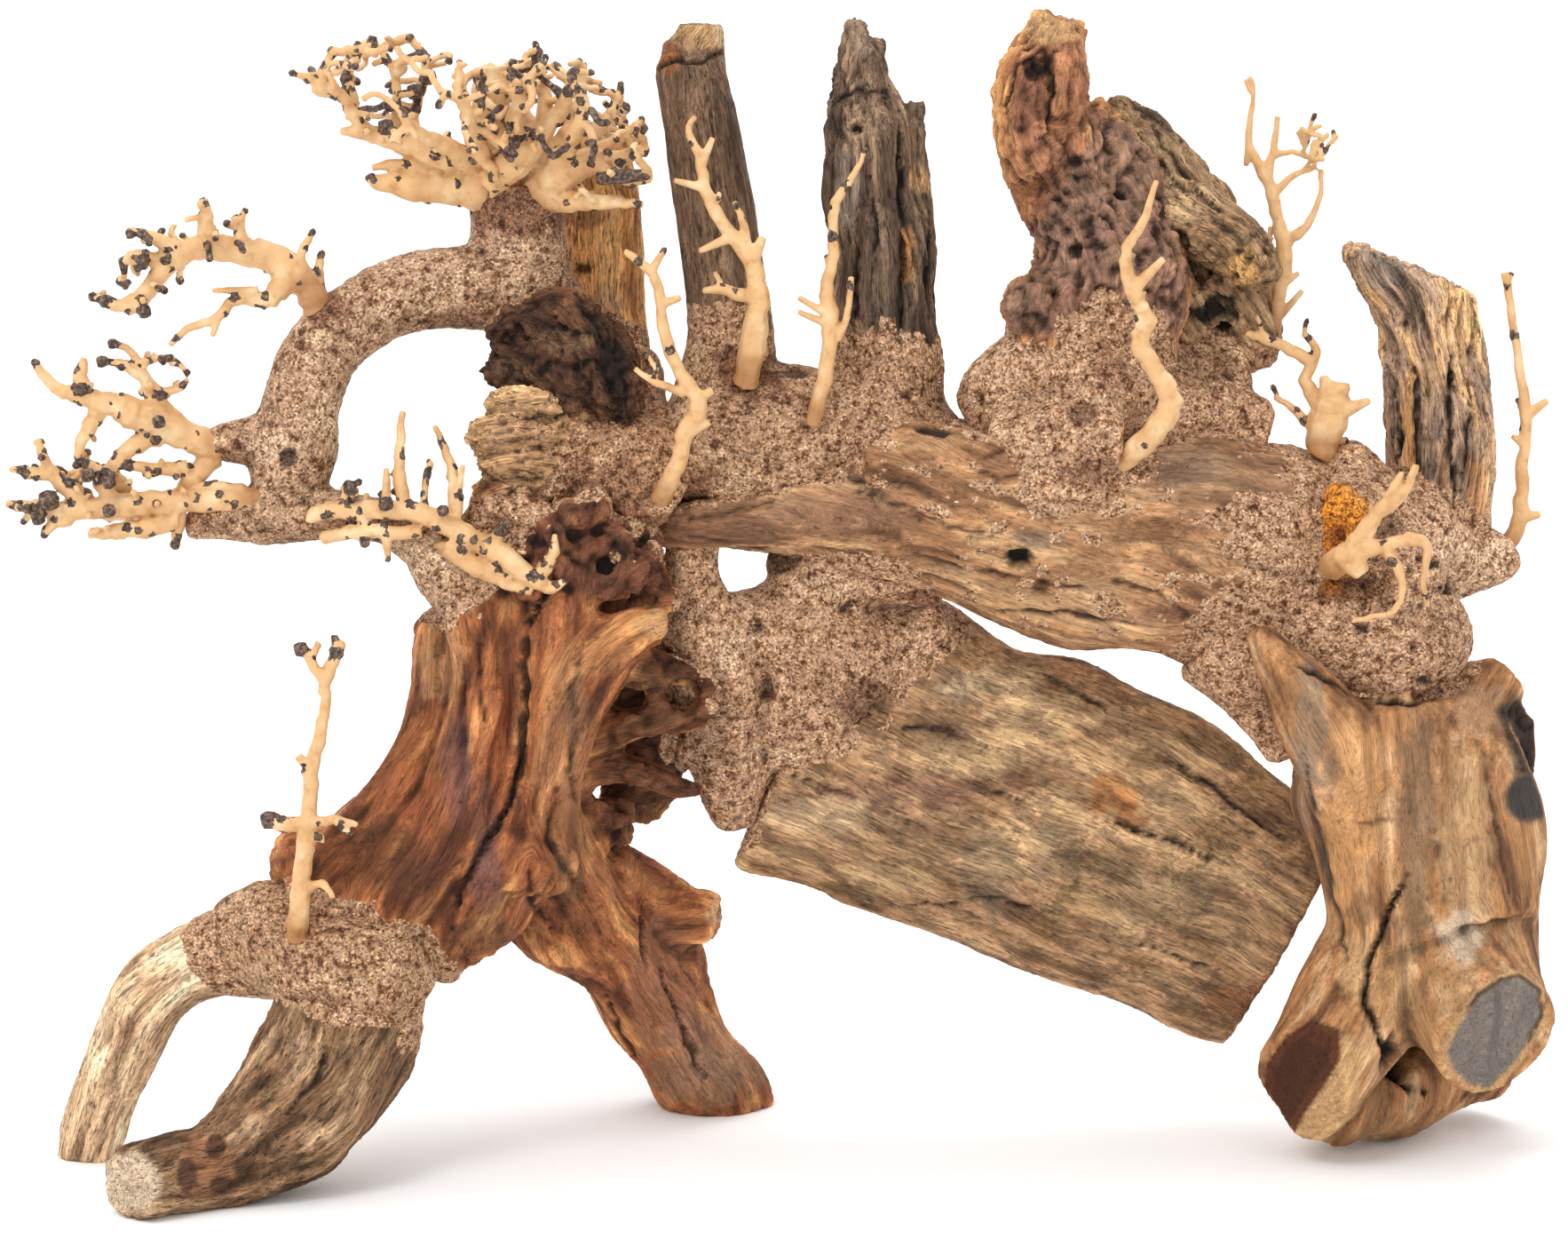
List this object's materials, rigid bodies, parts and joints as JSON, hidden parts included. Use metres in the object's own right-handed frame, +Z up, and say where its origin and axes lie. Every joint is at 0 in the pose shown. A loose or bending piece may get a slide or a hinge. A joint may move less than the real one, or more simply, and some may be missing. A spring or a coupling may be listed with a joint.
{
  "type": "bonsai driftwood",
  "caption": "Aquarium hardscape of driftwood pieces set in glued sand, with a bent bonsai limb, a log bridge, upright posts and pale twigs",
  "frame": {"origin": "bottom centre of the bounding box, on the surface the piece stands on", "axes": "+X to the viewer's right along the log bridge, +Y away from the viewer of the front, +Z up"},
  "size_m": [0.4251, 0.1383, 0.3194],
  "materials": {
    "brown_wood": "matte, reddish brown weathered wood",
    "grey_wood": "matte, grey-brown weathered wood",
    "tan_wood": "matte, tan debarked wood",
    "dark_wood": "matte, blackened wood",
    "pale_twig": "smooth, debarked pale twigs with dark nubs",
    "sand_mortar": "rough, coarse sand bound with glue"
  },
  "bodies": {
    "root": {"trunk": "brown_wood", "root_rear": "tan_wood", "root_front": "grey_wood", "slab_log": "tan_wood", "stump": "tan_wood", "bridge_log": "brown_wood", "burl_post": "brown_wood", "burl_side_root": "grey_wood", "post_ribbed": "grey_wood", "post_two_steps": "grey_wood", "post_jagged": "grey_wood", "post_rear": "brown_wood", "dark_chunk": "dark_wood", "knot_wood": "grey_wood", "crown_left": "pale_twig", "crown_right": "pale_twig", "spray_upper": "pale_twig", "spray_left": "pale_twig", "spray_low": "pale_twig", "spray_front": "pale_twig", "sapling_foot": "pale_twig", "sapling_shoulder": "pale_twig", "sapling_post": "pale_twig", "sapling_middle": "pale_twig", "sapling_burl": "pale_twig", "sapling_tall": "pale_twig", "sapling_antler": "pale_twig", "sapling_front": "pale_twig", "sapling_edge": "pale_twig", "mortar_arch": "sand_mortar", "mortar_heart": "sand_mortar", "mortar_shoulder": "sand_mortar", "mortar_posts": "sand_mortar", "mortar_burl": "sand_mortar", "mortar_right": "sand_mortar", "mortar_feet": "sand_mortar"}
  },
  "joints": []
}
